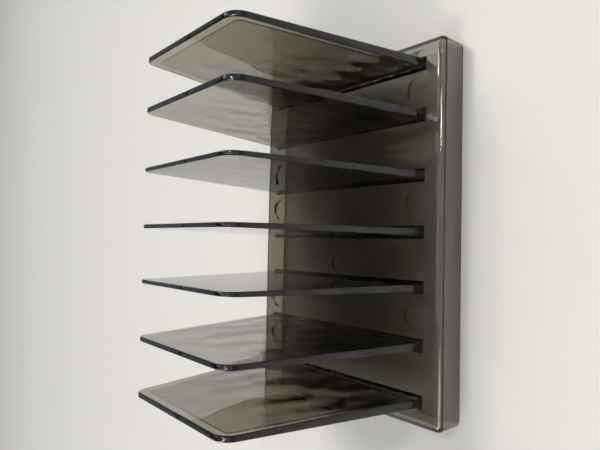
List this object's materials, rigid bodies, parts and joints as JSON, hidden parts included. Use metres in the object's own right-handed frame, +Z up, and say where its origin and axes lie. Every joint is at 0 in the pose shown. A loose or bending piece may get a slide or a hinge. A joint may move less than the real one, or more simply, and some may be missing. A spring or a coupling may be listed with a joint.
{
  "type": "desktop file sorter",
  "caption": "Smoky clear plastic desktop file sorter: a shallow open-bottomed tray with upright tapered dividers that hold folders and papers on edge.",
  "frame": {"origin": "centre of the tray's footprint, at the level of the desk", "axes": "+Z up, +X along the row of dividers, -Y towards the front of the tray"},
  "size_m": [0.274, 0.1966, 0.169],
  "materials": {
    "smoke_plastic": "smooth moulded clear plastic with a warm grey-brown smoke tint, edges look nearly black",
    "smoke_panel": "thin smooth clear sheet with the same smoke tint"
  },
  "bodies": {
    "root": {"base_tray": "smoke_plastic", "divider_1": "smoke_plastic", "divider_2": "smoke_plastic", "divider_3": "smoke_plastic", "divider_4": "smoke_plastic", "divider_5": "smoke_plastic", "divider_6": "smoke_plastic", "divider_7": "smoke_plastic", "end_panel_right": "smoke_panel", "end_panel_left": "smoke_panel"}
  },
  "joints": []
}
